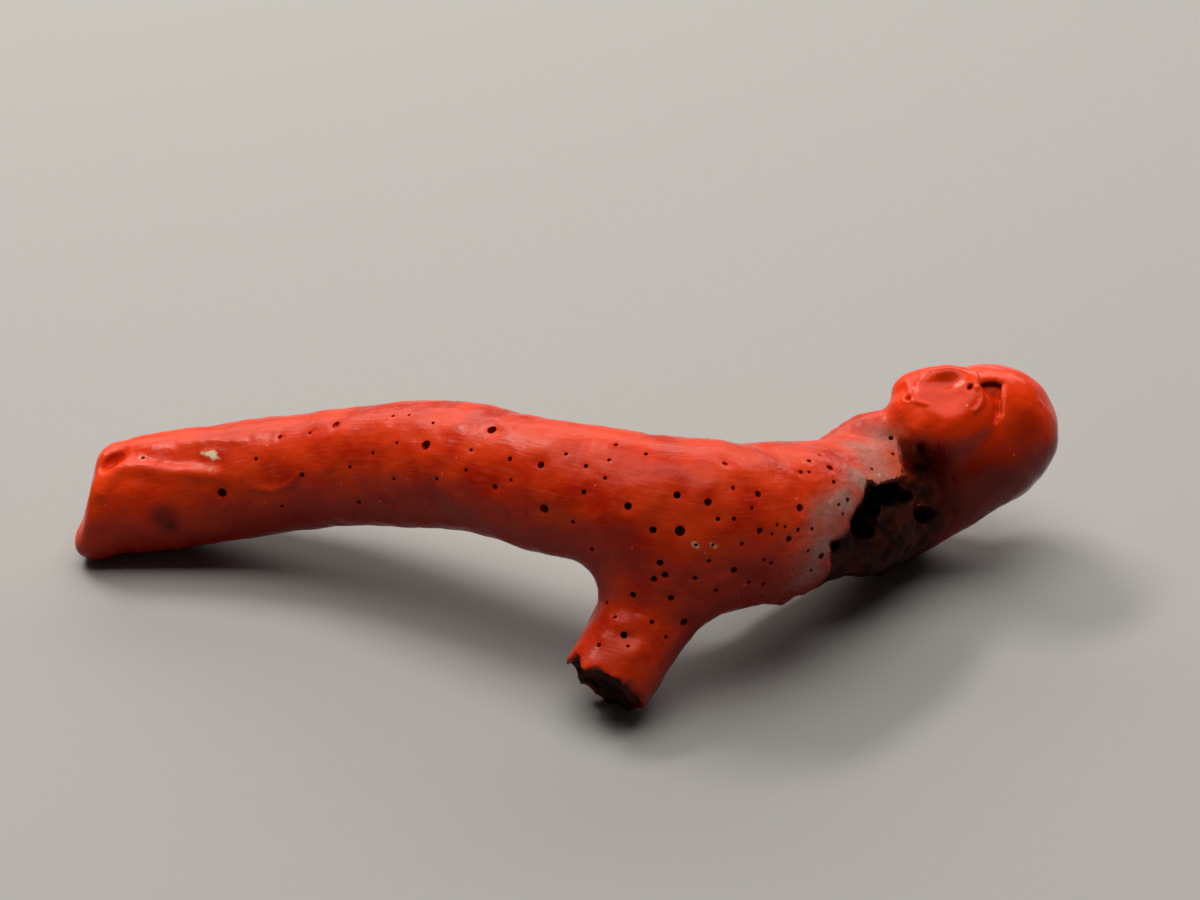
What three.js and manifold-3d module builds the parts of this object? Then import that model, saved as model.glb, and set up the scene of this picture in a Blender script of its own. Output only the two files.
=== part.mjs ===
// A loose branch of precious red coral, lying on its two broken ends and the swelling under its neck.
// Millimetres, +Z up. X runs from the long branch's tip to the knobbly end, and -Y is the side of the short stub.
import * as THREE from 'three';
import { mergeVertices } from 'three/addons/utils/BufferGeometryUtils.js';
import Module from 'manifold-3d';

const wasm = await Module();
wasm.setup();

// Driving dimensions
const seam = 0.3; // gap left between two pieces at a fork
const crustThickness = 0.4; // outer layer of the trunk where it has broken away
const boreRadius = 0.24; // a boring sponge's hole
const boreDepth = 0.75;
const drillLead = 1.5; // a drill starts this far outside the limb, so that it clears any swelling
const boreSides = 6;
const unevenness = 0.012; // of a limb's radius

// The stem runs on through fork, trunk and neck as one growth. Each station is its axis and its radius.
const stem = [
  { at: [-27.6, 6.2, 2.8], radius: 2.8 }, // broken tip
  { at: [-22.4, 6.5, 3.4], radius: 3.3 },
  { at: [-14.9, 5.8, 5.1], radius: 3.2 },
  { at: [-6.8, 2.4, 7.7], radius: 3.4 },
  { at: [0.4, -1.9, 8.9], radius: 3.5 }, // top of the arch
  { at: [6.9, -3.2, 7.8], radius: 4.2 }, // fork
  { at: [13.2, 0.5, 5.5], radius: 3.8 }, // trunk
  { at: [18.6, 5.3, 4.2], radius: 3.5 }, // neck
  { at: [21.7, 5.9, 5.9], radius: 3.3 },
  { at: [23.2, 6.9, 7.0], radius: 3.8 }, // end bulb
];
const stub = [
  { at: [6.5, -3.2, 7.2], radius: 3.6 },
  { at: [4.9, -4.9, 5.5], radius: 3.1 },
  { at: [3.9, -6.4, 3.8], radius: 2.5 },
  { at: [1.9, -9.3, 1.8], radius: 2.3 }, // broken end
];
const bud = [
  { at: [19.1, 6.8, 9.4], radius: 1.4 },
  { at: [20.6, 5.9, 9.4], radius: 2.1 },
  { at: [22.1, 6.2, 9.1], radius: 1.9 },
];
const crustLedge = [
  { at: [14.5, 4.4, 7.3], radius: 1.0 },
  { at: [16.3, 5.1, 7.6], radius: 1.5 },
  { at: [17.7, 5.2, 7.8], radius: 1.5 },
];
// Growth thickens in the two crotches beside the stub, and swells under the neck
const leftWeb = [
  { at: [3.2, -7.6, 3.0], radius: 1.8 },
  { at: [3.6, -5.2, 5.6], radius: 2.4 },
  { at: [2.2, -3.0, 7.9], radius: 3.1 },
  { at: [-0.9, -1.0, 8.8], radius: 3.2 },
];
const rightWeb = [
  { at: [4.1, -6.8, 3.5], radius: 2.1 },
  { at: [6.3, -4.7, 5.5], radius: 3.0 },
  { at: [10.1, -1.8, 6.4], radius: 3.6 },
];
const neckSwelling = [
  { at: [15.9, 3.6, 2.9], radius: 1.8 },
  { at: [18.6, 5.6, 1.9], radius: 2.1 },
  { at: [20.9, 6.5, 3.4], radius: 1.8 },
];

// Where each fork is parted: a point on the seam and the way that the outer piece leaves it
const forkSeam = { at: [2.0, -2.6, 8.8], away: [-0.95, 0.28, 0.11] };
const stubSeam = { at: [4.2, -5.9, 4.4], away: [-0.47, -0.6, -0.64] };
const neckSeam = { at: [19.9, 5.6, 4.7], away: [0.9, 0.3, 0.3] };
const tipBreak = { at: [-26.9, 6.3, 2.8], away: [-0.96, 0.0, 0.26] };
const stubBreak = { at: [2.0, -9.2, 1.9], away: [-0.5, -0.72, -0.48] };

// The crust has broken away from the front of the neck, along a slanting plane with a scalloped rim.
// It ends behind the neck at a second plane, and the bare neck is pitted with hollows.
const crustBreak = { at: [14.6, -2.8, 7.8], away: [0.79, -0.6, -0.1] };
const crustEnd = { at: [18.1, 4.8, 4.4], away: [0.8, 0.55, -0.2] };
const scallops = [
  { at: [17.4, 0.5, 8.4], radius: 1.0 },
  { at: [15.9, -1.2, 8.6], radius: 0.9 },
  { at: [15.0, -2.7, 8.2], radius: 0.9 },
  { at: [14.2, -3.9, 7.2], radius: 0.9 },
  { at: [14.0, -4.7, 5.4], radius: 1.1 },
  { at: [13.3, -4.2, 3.6], radius: 1.0 },
];
const neckGouge = [
  { at: [15.0, -5.6, 4.6], radius: 1.9 },
  { at: [16.6, -4.0, 6.6], radius: 2.5 },
  { at: [18.6, -1.6, 7.9], radius: 2.7 },
  { at: [20.4, 1.2, 8.3], radius: 2.0 },
];
const hollows = [
  { at: [15.5, -1.5, 7.0], radius: 0.9 },
  { at: [17.0, 0.2, 7.2], radius: 1.1 },
  { at: [18.7, 1.2, 5.3], radius: 0.9 },
  { at: [19.0, 2.8, 7.0], radius: 0.8 },
];
const tipNotch = { at: [-26.2, 5.4, 5.7], radius: 0.8 };
const stubDimple = { at: [3.3, -9.3, 5.2], radius: 0.9 };
const budCraters = [
  { at: [18.2, 5.8, 10.2], radius: 0.5 },
  { at: [20.3, 5.9, 11.6], radius: 0.9 },
  { at: [21.9, 4.5, 10.8], radius: 0.4 },
];

const coralRed = { color: 0xb3260c, roughness: 0.3, metalness: 0 };
const stubRed = { color: 0xa5230f, roughness: 0.35, metalness: 0 };
const dustyRed = { color: 0x9c3a26, roughness: 0.55, metalness: 0 };
const knobRed = { color: 0xbe2c0e, roughness: 0.3, metalness: 0 };

function point({ at }) {
  return new THREE.Vector3(...at);
}

function toSolid(geometry) {
  geometry.deleteAttribute('normal');
  geometry.deleteAttribute('uv');
  const merged = mergeVertices(geometry, 1e-4);
  return new wasm.Manifold(new wasm.Mesh({
    numProp: 3,
    vertProperties: new Float32Array(merged.attributes.position.array),
    triVerts: new Uint32Array(merged.index.array),
  }));
}

// Crumbs that the cuts leave loose are dropped
function largestBody(solid) {
  return solid.decompose().reduce((best, body) => (body.volume() > best.volume() ? body : best));
}

function toMesh(name, solid, finish) {
  const { vertProperties, triVerts } = largestBody(solid).getMesh();
  const geometry = new THREE.BufferGeometry();
  geometry.setAttribute('position', new THREE.BufferAttribute(vertProperties, 3));
  geometry.setIndex(new THREE.BufferAttribute(triVerts, 1));
  geometry.computeVertexNormals();
  const mesh = new THREE.Mesh(geometry, new THREE.MeshStandardMaterial(finish));
  mesh.name = name;
  return mesh;
}

// A smooth curve through the stations, with the radius carried along by a second curve of the same kind
function growth(stations) {
  const path = new THREE.CatmullRomCurve3(stations.map(point), false, 'catmullrom', 0.5);
  const girth = new THREE.CatmullRomCurve3(
    stations.map((station, i) => new THREE.Vector3(i, station.radius, 0)), false, 'catmullrom', 0.5);
  return {
    frameAt(t) {
      const along = path.getTangent(t);
      const side = new THREE.Vector3(0, 0, 1).cross(along).normalize();
      const up = along.clone().cross(side);
      return { centre: path.getPoint(t), along, side, up, radius: girth.getPoint(t).y };
    },
  };
}

// A limb is a closed cylinder whose rings are carried onto the growth, with a little natural unevenness
function limb(stations, { sides = 20, rings = 24 } = {}) {
  const { frameAt } = growth(stations);
  const geometry = new THREE.CylinderGeometry(1, 1, 1, sides, rings);
  const position = geometry.attributes.position;
  for (let i = 0; i < position.count; i += 1) {
    const t = THREE.MathUtils.clamp(position.getY(i) + 0.5, 0, 1);
    const { centre, side, up, radius } = frameAt(t);
    const angle = Math.atan2(position.getX(i), position.getZ(i));
    const swell = 1 + unevenness * (Math.sin(31 * t + 2 * angle) + Math.sin(17 * t - 3 * angle));
    const reach = radius * swell;
    centre.addScaledVector(side, position.getX(i) * reach);
    centre.addScaledVector(up, -position.getZ(i) * reach);
    position.setXYZ(i, centre.x, centre.y, centre.z);
  }
  return toSolid(geometry);
}

function ball(lump, segments = 12) {
  const geometry = new THREE.SphereGeometry(lump.radius, segments, Math.round(segments * 0.7));
  geometry.translate(...lump.at);
  return toSolid(geometry);
}

// Everything on the far side of a plane, as a block larger than the branch
function beyond({ at, away }, setBack = 0) {
  const size = 90;
  const direction = new THREE.Vector3(...away).normalize();
  const block = new THREE.BoxGeometry(size, size, size);
  block.translate(0, 0, size / 2 + setBack);
  block.applyQuaternion(new THREE.Quaternion().setFromUnitVectors(new THREE.Vector3(0, 0, 1), direction));
  block.translate(...at);
  return toSolid(block);
}

function split(solid, joint) {
  return {
    outer: solid.intersect(beyond(joint, seam / 2)),
    inner: solid.subtract(beyond(joint, -seam / 2)),
  };
}

// Sponge borings are drilled square to the surface, spread by the golden angle so that none line up
function boreHoles(stations, count, from, to) {
  const { frameAt } = growth(stations);
  const goldenAngle = Math.PI * (3 - Math.sqrt(5));
  const drills = [];
  for (let i = 0; i < count; i += 1) {
    const { centre, side, up, radius } = frameAt(from + (to - from) * ((i + 0.5) / count));
    const angle = i * goldenAngle;
    const outward = side.clone().multiplyScalar(Math.cos(angle)).addScaledVector(up, Math.sin(angle));
    const width = boreRadius * (1 + 0.3 * Math.sin(5 * i));
    const drill = new THREE.CylinderGeometry(width, width * 0.7, boreDepth + drillLead, boreSides);
    drill.applyQuaternion(new THREE.Quaternion().setFromUnitVectors(new THREE.Vector3(0, 1, 0), outward));
    centre.addScaledVector(outward, radius + (drillLead - boreDepth) / 2);
    drill.translate(centre.x, centre.y, centre.z);
    drills.push(toSolid(drill));
  }
  return drills;
}

function cut(solid, cutters) {
  return cutters.reduce((rest, cutter) => rest.subtract(cutter), solid);
}

function join(solids) {
  return solids.reduce((whole, solid) => whole.add(solid));
}

// The whole growth, before it is parted at its forks
const aboveSurface = beyond({ at: [0, 0, 0], away: [0, 0, 1] });
const endBulb = stem[stem.length - 1];
const core = join([limb(stem, { sides: 22, rings: 42 }), ball(endBulb, 18)]).subtract(beyond(tipBreak));
const stubLimb = limb(stub, { sides: 18, rings: 8 }).subtract(beyond(stubBreak));
const webs = [limb(leftWeb, { sides: 16, rings: 9 }), limb(rightWeb, { sides: 16, rings: 7 })];
const fork = join([core, stubLimb, ...webs]);

const crustRun = stem.slice(5, 9).map(({ at, radius }, i) => ({
  at,
  radius: radius + (i === 0 ? -crustThickness : crustThickness),
}));
const crust = cut(limb(crustRun, { sides: 22, rings: 12 }), [
  beyond(crustEnd),
  beyond(crustBreak),
  ...scallops.map((scallop) => ball(scallop)),
]);
const swellings = [limb(crustLedge, { sides: 12, rings: 6 }), limb(neckSwelling, { sides: 14, rings: 8 })];
const grown = join([fork, crust, ...swellings]);
const bored = cut(grown, [
  limb(neckGouge, { sides: 14, rings: 8 }),
  ...hollows.map((hollow) => ball(hollow, 10)),
  ball(tipNotch),
  ball(stubDimple),
  ...boreHoles(stem.slice(1, 8), 52, 0.04, 0.93),
  ...boreHoles(stub, 8, 0.72, 0.97),
]).intersect(aboveSurface);

// Parting at the forks
const atFork = split(bored, forkSeam);
const atStub = split(atFork.inner, stubSeam);
const atNeck = split(atStub.inner, neckSeam);
const neckClearance = stem.slice(7).map(({ at, radius }) => ({ at, radius: radius + seam }));
const bulbClearance = { at: endBulb.at, radius: endBulb.radius + seam };
const roundedBud = join([limb(bud, { sides: 16, rings: 8 }), ball(bud[0]), ball(bud[bud.length - 1], 14)]);
const budSolid = cut(roundedBud, [
  limb(neckClearance, { sides: 22, rings: 8 }),
  ball(bulbClearance, 18),
  ...budCraters.map((crater) => ball(crater, 10)),
]);

const branch = new THREE.Group();
branch.add(toMesh('long_branch', atFork.outer, coralRed));
branch.add(toMesh('side_stub', atStub.outer, stubRed));
branch.add(toMesh('trunk', atNeck.inner, dustyRed));
branch.add(toMesh('end_knob', atNeck.outer, knobRed));
branch.add(toMesh('knob_bud', budSolid, knobRed));

export default branch;
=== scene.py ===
import math

import bpy
import numpy as np
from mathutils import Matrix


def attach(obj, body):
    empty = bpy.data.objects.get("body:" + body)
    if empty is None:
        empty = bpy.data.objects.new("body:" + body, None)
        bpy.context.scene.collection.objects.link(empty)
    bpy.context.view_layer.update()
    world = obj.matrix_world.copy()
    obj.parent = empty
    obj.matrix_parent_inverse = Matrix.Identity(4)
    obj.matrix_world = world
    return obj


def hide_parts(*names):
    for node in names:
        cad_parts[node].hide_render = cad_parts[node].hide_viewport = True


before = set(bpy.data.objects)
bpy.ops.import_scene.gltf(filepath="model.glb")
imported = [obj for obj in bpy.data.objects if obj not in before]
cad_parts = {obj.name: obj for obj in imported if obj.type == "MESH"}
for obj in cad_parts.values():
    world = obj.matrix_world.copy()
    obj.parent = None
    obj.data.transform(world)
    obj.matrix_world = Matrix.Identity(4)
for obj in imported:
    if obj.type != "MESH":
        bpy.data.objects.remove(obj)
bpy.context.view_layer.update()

import openvdb
from mathutils import Vector, noise
from mathutils.bvhtree import BVHTree

mm = 0.001  # m

photo = {
    "width": 1200,  # px
    "height": 900,
    "focal": 2240.0,  # px, a mild telephoto
    "tilt": 32.0,  # degrees down
    "eye": (1.74, -98.82, 71.92),  # mm
    "away": 112.0,  # mm from the eye to the coral
    "nearest": 88.0,  # mm, where a ray begins to look for it
    "sensor": 36.0,  # mm
}
tilt = math.radians(photo["tilt"])
lookAlong = np.array([0.0, math.cos(tilt), -math.sin(tilt)])
lookRight = np.array([1.0, 0.0, 0.0])
lookUp = np.array([0.0, math.sin(tilt), math.cos(tilt)])
eye = np.array(photo["eye"])


def addObject(name, data):
    made = bpy.data.objects.new(name, data)
    bpy.context.scene.collection.objects.link(made)
    return made


def addCamera():
    data = bpy.data.cameras.new("camera")
    data.sensor_width = photo["sensor"]
    data.lens = photo["focal"] * photo["sensor"] / photo["width"]
    data.clip_start = 0.001
    data.clip_end = 10
    camera = addObject("camera", data)
    camera.location = Vector(eye) * mm
    camera.rotation_euler = (math.radians(90) - tilt, 0, 0)
    bpy.context.scene.camera = camera


# Where a point in mm falls in the photograph, in px, and how far away it is
def seenAt(x, y, z):
    away = (y - eye[1]) * lookAlong[1] + (z - eye[2]) * lookAlong[2]
    rise = (y - eye[1]) * lookUp[1] + (z - eye[2]) * lookUp[2]
    across = photo["width"] / 2 + photo["focal"] * (x - eye[0]) / away
    down = photo["height"] / 2 - photo["focal"] * rise / away
    return across, down, away


# The way from the eye through a px of the photograph
def rayThrough(across, down):
    ray = lookAlong + lookRight * (across - photo["width"] / 2) / photo["focal"]
    ray = ray - lookUp * (down - photo["height"] / 2) / photo["focal"]
    return ray / np.linalg.norm(ray)


addCamera()
print("camera set")

# How the coral grew: x, y, z and radius in mm, the same stations as the solids
growth = {
    "voxel": 0.11,  # mm, the mesh size of the skin
    "quickVoxel": 0.17,
    "stem": [(-27.6, 6.2, 2.8, 2.8), (-22.4, 6.5, 3.4, 3.3), (-14.9, 5.8, 5.1, 3.2), (-6.8, 2.4, 7.7, 3.4),
             (0.4, -1.9, 8.9, 3.5), (6.9, -3.2, 7.8, 4.2), (13.2, 0.5, 5.5, 3.8), (18.6, 5.3, 4.2, 3.5),
             (21.7, 5.9, 5.9, 3.3), (23.2, 6.9, 7.0, 3.8)],
    "stub": [(6.5, -3.2, 7.2, 3.6), (4.9, -4.9, 5.5, 3.1), (3.9, -6.4, 3.8, 2.5), (1.9, -9.3, 1.8, 2.3)],
    "bud": [(19.1, 6.8, 9.4, 1.4), (20.6, 5.9, 9.4, 2.1), (22.1, 6.2, 9.1, 1.9)],
    "ledge": [(14.5, 4.4, 7.3, 1.0), (16.3, 5.1, 7.6, 1.5), (17.7, 5.2, 7.8, 1.5)],
    "swelling": [(15.9, 3.6, 2.9, 1.8), (18.6, 5.6, 1.9, 2.1), (20.9, 6.5, 3.4, 1.8)],
    # mm, how softly each runs into the stem
    "blends": {"stub": 1.6, "swelling": 0.9, "ledge": 0.5, "bud": 0.9, "face": 0.8, "toe": 0.7},
    "tipBreak": ((-26.9, 6.3, 2.8), (-0.96, 0.0, 0.26)),  # a point of the break and where it faces
    "tipTears": [(0.16, 2.0, 3)],  # mm high, mm across and shift of the ripples in it
    "tipCorners": ((-29, -1, -1), (-23, 13, 9)),  # mm, of the clay round it
    "stubBreak": ((2.0, -9.2, 1.9), (-0.5, -0.72, -0.48)),
    "stubTears": [(0.34, 1.1, 6), (0.22, 0.5, 2)],
    "stubCorners": ((-2.5, -11.5, -0.5), (5, -5, 4.8)),
    "stubHollow": (1.5, 1.95),  # mm from the break out to its middle, and its radius
    "crust": 0.4,  # mm, the dusty outer layer of the trunk
    "crustEnd": ((18.1, 4.8, 4.4), (0.8, 0.55, -0.2)),
    "crustBreak": ((14.6, -2.8, 7.8), (0.79, -0.6, -0.1)),
    "crustFoot": 3.6,  # mm high, below which it ends at crustBreak
    "neckLine": ((15.2, 1.6, 5.2), (0.78, 0.6, 0.0)),  # where the neck starts and the way it runs
}
voxel = growth["voxel"]
clayLow = np.array([-28.4, -11.6, -0.5])  # mm
clayHigh = np.array([27.9, 11.5, 13.4])
empty = 4.0  # mm, further out than any blend reaches
clay = np.full(np.ceil((clayHigh - clayLow) / voxel).astype(int) + 1, empty, np.float32)


# A smooth curve through stations, in steps of about this many mm
def curveThrough(stations, step=0.5):
    rows = np.array(stations, float)
    rows = np.vstack([2 * rows[0] - rows[1], rows, 2 * rows[-1] - rows[-2]])
    made = []
    for a, b, c, d in zip(rows[:-3], rows[1:-2], rows[2:-1], rows[3:]):
        square, cube = 2 * a - 5 * b + 4 * c - d, 3 * b - a - 3 * c + d
        count = max(2, int(np.linalg.norm((c - b)[:3]) / step))
        for t in np.arange(count) / count:
            made.append(b + 0.5 * t * (c - a + t * (square + t * cube)))
    return np.array(made + [rows[-2]])


# The lesser of two distances, rounded over where they meet
def softMin(a, b, blend):
    if not blend:
        return np.minimum(a, b)
    h = np.maximum(blend - np.abs(a - b), 0) / blend
    return np.minimum(a, b) - h * h * blend / 4


def ramp(start, end, x):
    t = np.clip((x - start) / (end - start), 0, 1)
    return t * t * (3 - 2 * t)


# The part of the clay between two corners in mm
def block(cornerA, cornerB):
    a = np.clip(np.floor((np.array(cornerA) - clayLow) / voxel).astype(int), 0, clay.shape)
    b = np.clip(np.ceil((np.array(cornerB) - clayLow) / voxel).astype(int) + 1, 0, clay.shape)
    return tuple(slice(m, n) for m, n in zip(a, b))


def axesOf(place):
    axes = [clayLow[k] + voxel * np.arange(run.start, run.stop) for k, run in enumerate(place)]
    return np.ix_(*[axis.astype(np.float32) for axis in axes])


# Distance from a chain of tapered rods, over the block of clay round it
def limbDistance(chain, reach=1.3):
    chain = np.array(chain, np.float32)
    widest = chain[:, 3].max() + reach
    place = block(chain[:, :3].min(0) - widest, chain[:, :3].max(0) + widest)
    own = np.full(clay[place].shape, empty, np.float32)
    for a, b in zip(chain[:-1], chain[1:]):
        radius = max(a[3], b[3]) + reach
        part = block(np.minimum(a, b)[:3] - radius, np.maximum(a, b)[:3] + radius)
        here = tuple(slice(p.start - q.start, p.stop - q.start) for p, q in zip(part, place))
        x, y, z = axesOf(part)
        d = b - a
        h = np.clip(((x - a[0]) * d[0] + (y - a[1]) * d[1] + (z - a[2]) * d[2]) / (d[:3] @ d[:3]), 0, 1)
        gap = np.sqrt((x - a[0] - h * d[0]) ** 2 + (y - a[1] - h * d[1]) ** 2 + (z - a[2] - h * d[2]) ** 2)
        own[here] = np.minimum(own[here], gap - a[3] - h * d[3])
    return place, own


def addLimb(chain, blend=0.0):
    place, own = limbDistance(chain)
    clay[place] = softMin(clay[place], own, blend)


# Distance past a plane, which is given by a point of it and the way it faces
def beyond(plane, x, y, z):
    at, away = plane
    n = np.array(away) / np.linalg.norm(away)
    return (x - at[0]) * n[0] + (y - at[1]) * n[1] + (z - at[2]) * n[2]


def takeAway(place, own, blend=0.0):
    clay[place] = -softMin(-clay[place], own, blend)


def hollowOut(middle, radius, blend):
    takeAway(*limbDistance([(*middle, radius), (*(middle + 0.01), radius)]), blend)


# The clay's distances at points between its voxels
def sample(points):
    g = np.clip((points - clayLow) / voxel, 0, np.array(clay.shape) - 1.001)
    i = g.astype(int)
    f = g - i
    total = 0
    for dx, dy, dz in np.ndindex(2, 2, 2):
        weight = np.abs(1 - dx - f[:, 0]) * np.abs(1 - dy - f[:, 1]) * np.abs(1 - dz - f[:, 2])
        total = total + weight * clay[i[:, 0] + dx, i[:, 1] + dy, i[:, 2] + dz]
    return total


def slope(points):
    parts = []
    for shift in np.eye(3) * voxel * 0.7:
        parts.append((sample(points + shift) - sample(points - shift)) / (1.4 * voxel))
    return np.stack(parts, -1)


# The first clay that a ray through a px of the photograph meets
def meet(across, down, close=0.004):
    ray = rayThrough(across, down)
    travel = photo["nearest"]
    for _ in range(400):
        gap = sample((eye + ray * travel)[None])[0]
        if gap < close:
            break
        travel += min(max(gap * 0.8, close), 0.5)
    return eye + ray * travel


# A cut-out ellipsoid, its depth straight in from a px of the photograph
def carveWell(across, down, wide, tall, deep, turn=0.0, blend=0.15):
    at = meet(across, down)
    c, s = math.cos(math.radians(turn)), math.sin(math.radians(turn))
    reach = max(wide, tall, deep) + 0.6
    place = block(at - reach, at + reach)
    x, y, z = [axis - at[k] for k, axis in enumerate(axesOf(place))]
    u, v, w = [x * way[0] + y * way[1] + z * way[2] for way in (lookRight, lookUp, lookAlong)]
    u, v = c * u + s * v, c * v - s * u
    size = np.sqrt((u / wide) ** 2 + (v / tall) ** 2 + (w / deep) ** 2)
    takeAway(place, (size - 1) * min(wide, tall, deep), blend)


# Distance in mm from an outline in px, less than 0 inside it. Only its first edges count if first is given.
def outlineDistance(across, down, corners, first=None):
    corners = np.array(corners, np.float32)
    nearest = np.full(across.shape, 1e9, np.float32)
    inside = np.zeros(across.shape, bool)
    for k, (a, b) in enumerate(zip(corners, np.roll(corners, -1, 0))):
        d = b - a
        h = np.clip(((across - a[0]) * d[0] + (down - a[1]) * d[1]) / (d @ d), 0, 1)
        if first is None or k < first:
            nearest = np.minimum(nearest, (across - a[0] - h * d[0]) ** 2 + (down - a[1] - h * d[1]) ** 2)
        slant = (b[0] - a[0]) / (b[1] - a[1]) if b[1] != a[1] else 0.0
        inside ^= ((a[1] > down) != (b[1] > down)) & (across < a[0] + (down - a[1]) * slant)
    return np.where(inside, -1, 1) * np.sqrt(nearest) * photo["away"] / photo["focal"]


# Soft lumps of about this size in mm, from -1 to 1
def ripple(points, size, shift):
    return np.array([noise.noise(place) for place in (points / size + shift).tolist()]) * 1.6


# The broken crust's edge and the hollows beside it, by px of the photograph
lip = [(905, 475), (896.7, 479), (886.7, 481.7), (878.3, 485), (874.2, 483.3), (870.8, 480.8),
       (866.7, 480.8), (865.8, 485.8), (863.3, 490), (862.5, 496.7), (858.3, 503.3), (854.2, 508.3),
       (851.7, 515), (848.3, 520), (848.3, 528.3), (843.3, 535), (836.7, 538.3), (830, 540.8), (827.5, 545),
       (830, 550), (828.3, 556.7), (829.2, 565), (828.3, 571.7), (823.3, 578.3), (818.3, 583.3),
       (811.7, 588.3), (805, 595), (795, 596.7), (788.3, 600.8), (778, 608), (770, 622)]
neck = {
    "outline": lip + [(1040, 640), (1040, 500), (960, 440), (915, 405), (897, 404), (897, 425), (898, 445),
                      (901, 462)],
    "middle": (15.9, 2.9, 4.9),  # mm
    "front": 1.2,  # mm behind that, where the traced break ends
    "undercut": 0.5,  # mm more that is gone just beyond the lip
    "fade": 2.6,  # mm over which that runs out
    # px across and down, mm wide, tall and deep, degrees
    "hollows": [(863.5, 521, 0.78, 0.9, 1.6, -28), (856, 532, 0.55, 0.6, 1.1, -40),
                (891, 494, 1.2, 0.68, 1.5, 8), (872, 498, 0.62, 0.6, 1.0, 0),
                (926, 516, 0.92, 0.44, 1.1, -6), (921, 448, 0.3, 0.42, 0.8, 8),
                (834, 546, 0.36, 0.28, 0.7, 30), (872, 512, 0.42, 0.36, 1.2, 20),
                (866, 534, 0.4, 0.3, 1.0, 15), (880, 487, 0.5, 0.3, 1.0, -30),
                (906, 498, 0.5, 0.34, 1.0, 20)],
}


# The trunk's outer layer, less what has broken away: gone is less than 0 there
def addCrust():
    chain = curveThrough(growth["stem"][5:9])
    chain[:, 3] += growth["crust"] * (2 * ramp(0, 0.3, np.linspace(0, 1, len(chain))) - 1)
    place, own = limbDistance(chain)
    shell = np.abs(own) < 1.2
    spots = np.stack([axis[shell] for axis in np.broadcast_arrays(*axesOf(place))], -1)
    across, down, away = seenAt(*spots.T)
    traced = outlineDistance(across, down, neck["outline"], len(lip) - 1)
    behind = away - seenAt(*neck["middle"])[2] - neck["front"]
    scallop = ripple(spots, 1.7, 8) + 0.4 * ripple(spots, 0.7, 5)
    gone = np.maximum(traced, behind)
    gone = np.minimum(gone, -beyond(growth["crustEnd"], *spots.T) - 0.6 * scallop)
    under = np.maximum(-beyond(growth["crustBreak"], *spots.T), spots[:, 2] - growth["crustFoot"])
    gone = np.minimum(gone, under)
    own[shell] = np.maximum(own[shell], -gone)
    clay[place] = softMin(clay[place], own, 0.05)
    inward = np.maximum(-traced, 0)
    worn = neck["undercut"] * ramp(0, 0.12, inward) * (1 - ramp(0.6, neck["fade"], inward))
    worn = worn * (1 - ramp(-1.5, 0.5, behind))
    clay[place][shell] += worn * (clay[place][shell] < 1.5)


# The broken tip and the head, again by px of the photograph
tip = {
    "notch": (111, 461, 0.75, 0.42, 0.8, 48, 0.3),  # as the neck's hollows, and mm of blend
    "bite": ((86, 497), 4.8, 0.72),  # px, mm back and radius of the hollow in the end's outline
    "toe": [((114, 522), 4.8, 1.2), ((96, 540), 4.6, 1.0)],  # the same, for what stands out below
}
head = {
    # px across and down, y in mm, radius in mm: the bud's full front face
    "face": [((911, 414), 5.2, 1.1), ((922, 429), 4.65, 1.3), ((950, 427), 4.65, 1.7),
             ((981, 425), 4.9, 1.5)],
    # the shallow dish in its top: px and y of the middle, where it faces, radius of its hollow
    "dish": ((947, 401), 4.55, (-0.1, -0.45, 0.885), 2.7),
    # as the tip's notch
    "wells": [(945, 377.5, 0.85, 0.5, 0.3, 6, 0.45), (971, 387.5, 0.25, 0.15, 0.5, 30, 0.05),
              (908.5, 399.5, 0.15, 0.11, 0.25, 0, 0.04)],
    "slot": [(979, 385), (983, 382.5), (995, 381.5), (1003, 385), (1002.5, 390), (1001.5, 400), (1001.5, 414),
             (996, 423), (994, 419), (993, 406), (990, 398), (984, 392)],
    "slotDepth": 0.45,  # mm
}


# The point seen at a px of the photograph that lies this many mm back
def onPlane(across, down, back):
    ray = rayThrough(across, down)
    return eye + ray * (back - eye[1]) / ray[1]


# An outline in px sunk into the clay, this many mm deep and no further back than given
def carveSlot(outline, deep, reach=2.2, back=1.8, blend=0.18):
    at = meet(*np.mean(outline, 0))
    place = block(at - deep - reach, at + deep + reach)
    across, down, away = np.broadcast_arrays(*seenAt(*axesOf(place)))
    wall = outlineDistance(across, down, outline)
    behind = away - seenAt(*at)[2] - back
    takeAway(place, np.maximum(np.maximum(wall, -clay[place] - deep), behind), blend)


# Takes off what lies past an end's torn break
def breakEnd(end, blend):
    place = block(*growth[end + "Corners"])
    x, y, z = np.broadcast_arrays(*axesOf(place))
    spots = np.stack([x, y, z], -1).reshape(-1, 3)
    torn = sum(high * ripple(spots, size, shift) for high, size, shift in growth[end + "Tears"])
    gap = -beyond(growth[end + "Break"], x, y, z) - torn.reshape(x.shape)
    takeAway(place, gap.astype(np.float32), blend)


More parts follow.
